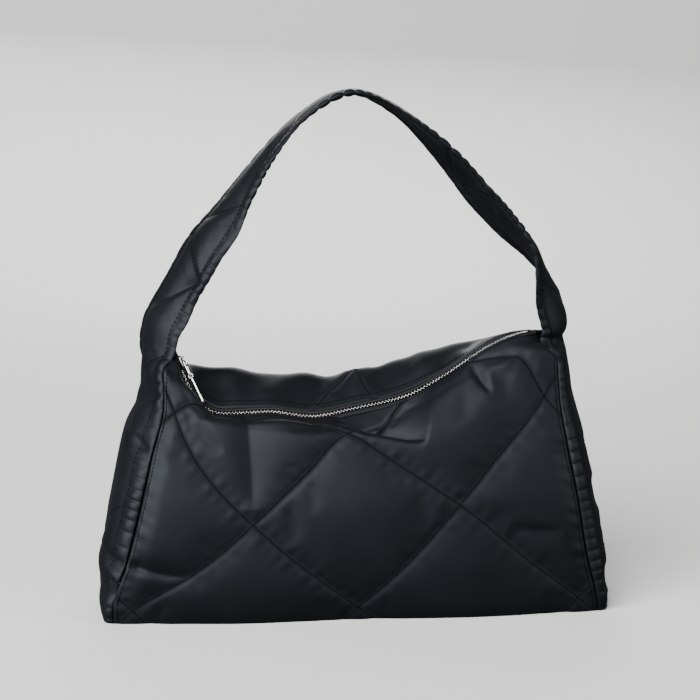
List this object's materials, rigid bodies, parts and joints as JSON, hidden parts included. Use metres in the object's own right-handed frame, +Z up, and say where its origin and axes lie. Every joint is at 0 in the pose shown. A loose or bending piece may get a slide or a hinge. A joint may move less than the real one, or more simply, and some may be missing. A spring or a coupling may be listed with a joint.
{
  "type": "quilted shoulder bag",
  "caption": "Slouchy trapezoid shoulder bag of diamond-quilted padded cloth, with a wide padded strap running on from its side gussets and a metal zip along its sagging top edge.",
  "frame": {"origin": "middle of the bag's width and depth, on the level it stands on", "axes": "+Z up, +X to the right as seen from the front, +Y to the back"},
  "size_m": [0.3819, 0.1313, 0.3857],
  "materials": {
    "quilted_nylon": "smooth black nylon with a soft sheen",
    "zip_tape": "matt black woven tape",
    "zip_metal": "bright nickel plate"
  },
  "bodies": {
    "bag": {"quilted_body": "quilted_nylon", "shoulder_band": "quilted_nylon", "zip_tape_front": "zip_tape", "zip_tape_back": "zip_tape", "zip_chain": "zip_metal", "zip_slider": "zip_metal"},
    "pull_link": {"pull_link": "zip_metal"},
    "pull_tab": {"pull_tab": "zip_metal"}
  },
  "joints": [
    {"name": "link_on_slider", "type": "hinge", "parent": "bag", "child": "pull_link", "pos_m": [-0.12515, -0.01125, 0.18753], "axis": [-0.2441, -0.9089, 0.3381], "range_deg": [0, 110]},
    {"name": "tab_on_link", "type": "hinge", "parent": "pull_link", "child": "pull_tab", "pos_m": [-0.11991, -0.01661, 0.17691], "axis": [-0.2441, -0.9089, 0.3381], "range_deg": [0, 60]}
  ]
}
